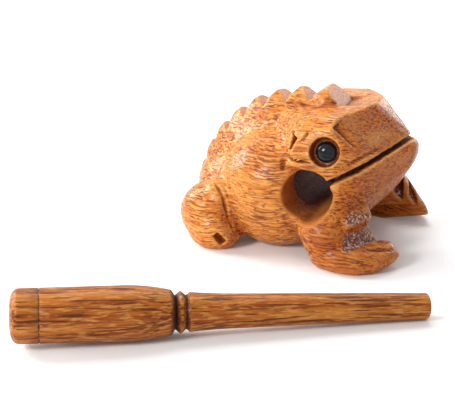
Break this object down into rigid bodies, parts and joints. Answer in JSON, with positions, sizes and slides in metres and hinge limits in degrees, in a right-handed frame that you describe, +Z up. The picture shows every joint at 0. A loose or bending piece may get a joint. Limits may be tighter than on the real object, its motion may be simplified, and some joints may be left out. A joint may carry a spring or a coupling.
{
  "type": "wooden frog guiro",
  "caption": "Carved wooden frog rasp with a toothed spine, domed eyes, a hollow body bored through the mouth corners, and a turned wooden striker lying beside it.",
  "frame": {"origin": "on the table, under the middle of the frog's flat belly, on its plane of symmetry", "axes": "+X the way the frog faces, +Y its left side, +Z up"},
  "size_m": [0.1359, 0.1934, 0.0665],
  "materials": {
    "frog_wood": "orange-brown hardwood, satin varnish, open pores",
    "eye_bead": "glossy black bead",
    "striker_wood": "yellow-brown hardwood with long dark streaks, satin varnish"
  },
  "bodies": {
    "frog": {"frog_body": "frog_wood", "eye_right": "eye_bead", "eye_left": "eye_bead"},
    "striker": {"striker": "striker_wood"}
  },
  "joints": [
    {"name": "striker_lift", "type": "slide", "parent": "frog", "child": "striker", "axis": [0, 0, 1], "range_m": [0, 0.08]}
  ]
}
